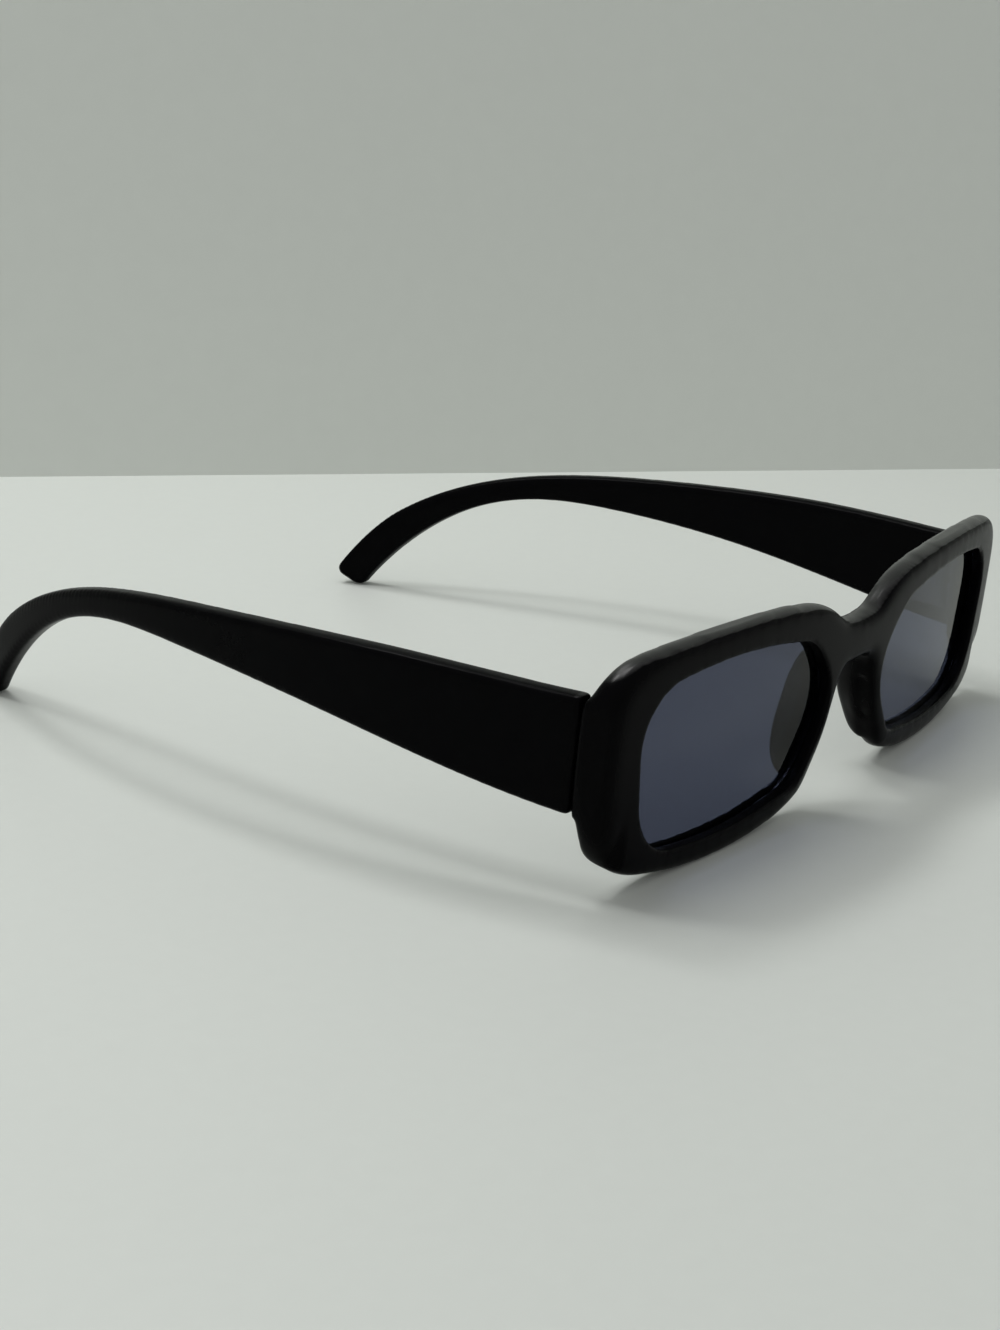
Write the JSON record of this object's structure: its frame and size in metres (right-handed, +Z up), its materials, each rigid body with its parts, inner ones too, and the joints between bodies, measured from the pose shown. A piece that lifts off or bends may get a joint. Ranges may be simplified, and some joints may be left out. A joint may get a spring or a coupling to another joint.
{
  "type": "sunglasses",
  "caption": "Narrow rectangular sunglasses with a glossy moulded frame, tinted curved lenses, built-in nose pads and temples that fold on barrel hinges.",
  "frame": {"origin": "on the table, in the middle of the box around the open sunglasses", "axes": "+X to the wearer's left across the face, +Y back along the temples, +Z up; the front of the sunglasses faces -Y"},
  "size_m": [0.1464, 0.1448, 0.0361],
  "materials": {
    "frame_plastic": "moulded black plastic with a polished gloss",
    "temple_plastic": "moulded black plastic with a polished gloss",
    "lens_tint": "clear, smooth, tinted smoke grey",
    "hinge_metal": "satin nickel plate",
    "screw_metal": "bright turned metal"
  },
  "bodies": {
    "front": {"frame_front": "frame_plastic", "lens_left": "lens_tint", "front_leaf_left": "hinge_metal", "hinge_screw_left": "screw_metal", "lens_right": "lens_tint", "front_leaf_right": "hinge_metal", "hinge_screw_right": "screw_metal"},
    "temple_left": {"temple_left": "temple_plastic", "temple_leaf_left": "hinge_metal", "leaf_screw_fore_left": "screw_metal", "leaf_screw_aft_left": "screw_metal"},
    "temple_right": {"temple_right": "temple_plastic", "temple_leaf_right": "hinge_metal", "leaf_screw_fore_right": "screw_metal", "leaf_screw_aft_right": "screw_metal"}
  },
  "joints": [
    {"name": "fold_left", "type": "hinge", "parent": "front", "child": "temple_left", "pos_m": [0.06536, -0.05874, 0.0205], "axis": [0, 0, 1], "range_deg": [0, 84]},
    {"name": "fold_right", "type": "hinge", "parent": "front", "child": "temple_right", "pos_m": [-0.06536, -0.05874, 0.0205], "axis": [0, 0, -1], "range_deg": [0, 75]}
  ]
}
